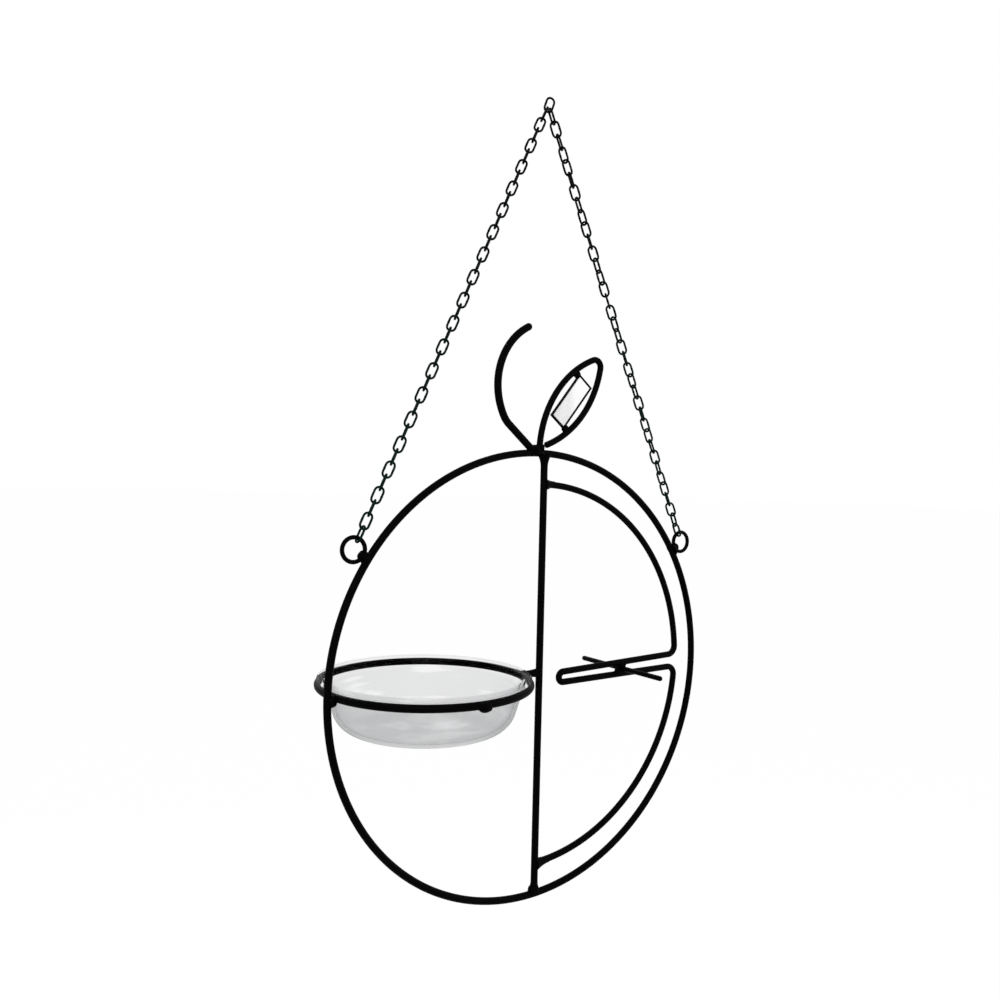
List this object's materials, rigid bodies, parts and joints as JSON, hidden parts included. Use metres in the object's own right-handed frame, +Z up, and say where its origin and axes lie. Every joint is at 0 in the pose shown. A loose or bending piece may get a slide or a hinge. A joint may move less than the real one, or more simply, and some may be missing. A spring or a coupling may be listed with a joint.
{
  "type": "hanging fruit bird feeder",
  "caption": "Apple-outline welded wire bird feeder on a two-legged chain, with a lift-out clear bowl in a ring on one side and a hairpin holder with a cross spike for fruit on the other.",
  "frame": {"origin": "inside the upper bend of the chain's top link, where a hook holds the feeder", "axes": "+Z up, +X to the fruit side (the picture's right), -Y the front that the picture is taken from; the wire outline stands in the XZ plane"},
  "size_m": [0.2235, 0.1036, 0.3968],
  "materials": {
    "black_wire": "black powder coat, semi-gloss",
    "dark_chain": "near-black green coated links, semi-gloss",
    "clear_bowl": "clear, slightly grey, polished",
    "tag_panel": "glossy white, left bare"
  },
  "bodies": {
    "hanger": {"top_link": "dark_chain"},
    "chain_1": {"chain_left_1": "dark_chain", "chain_right_1": "dark_chain"},
    "chain_2": {"chain_left_2": "dark_chain", "chain_right_2": "dark_chain"},
    "chain_3": {"chain_left_3": "dark_chain", "chain_right_3": "dark_chain"},
    "chain_4": {"chain_left_4": "dark_chain", "chain_right_4": "dark_chain"},
    "chain_5": {"chain_left_5": "dark_chain", "chain_right_5": "dark_chain"},
    "chain_6": {"chain_left_6": "dark_chain", "chain_right_6": "dark_chain"},
    "frame": {"outer_hoop": "black_wire", "centre_bar": "black_wire", "fruit_wire": "black_wire", "fruit_spike": "black_wire", "bowl_ring": "black_wire", "ring_stub": "black_wire", "stem": "black_wire", "leaf": "black_wire", "tag_border": "black_wire", "tag_panel": "tag_panel", "eye_ring_left": "black_wire", "eye_ring_right": "black_wire", "frame_welds": "black_wire", "spike_weld": "black_wire", "ring_weld": "black_wire", "stem_weld": "black_wire", "tag_welds": "black_wire", "eye_welds": "black_wire"},
    "bowl": {"bowl": "clear_bowl"}
  },
  "joints": [
    {"name": "top_swing", "type": "hinge", "parent": "hanger", "child": "chain_1", "pos_m": [0, 0, -0.00468], "axis": [1, 0, 0], "range_deg": [-20, 20]},
    {"name": "chain_fold_1", "type": "hinge", "parent": "chain_1", "child": "chain_2", "pos_m": [0, 0, -0.03769], "axis": [1, 0, 0], "range_deg": [-20, 20]},
    {"name": "chain_fold_2", "type": "hinge", "parent": "chain_2", "child": "chain_3", "pos_m": [0, 0, -0.07205], "axis": [1, 0, 0], "range_deg": [-20, 20]},
    {"name": "chain_fold_3", "type": "hinge", "parent": "chain_3", "child": "chain_4", "pos_m": [0, 0, -0.1064], "axis": [1, 0, 0], "range_deg": [-20, 20]},
    {"name": "chain_fold_4", "type": "hinge", "parent": "chain_4", "child": "chain_5", "pos_m": [0, 0, -0.13994], "axis": [1, 0, 0], "range_deg": [-20, 20]},
    {"name": "chain_fold_5", "type": "hinge", "parent": "chain_5", "child": "chain_6", "pos_m": [0, 0, -0.17439], "axis": [1, 0, 0], "range_deg": [-20, 20]},
    {"name": "frame_tilt", "type": "hinge", "parent": "chain_6", "child": "frame", "pos_m": [0, 0, -0.2132], "axis": [1, 0, 0], "range_deg": [-60, 60]},
    {"name": "bowl_lift", "type": "slide", "parent": "frame", "child": "bowl", "axis": [0.2425, 0, 0.9701], "range_m": [0, 0.03]}
  ]
}
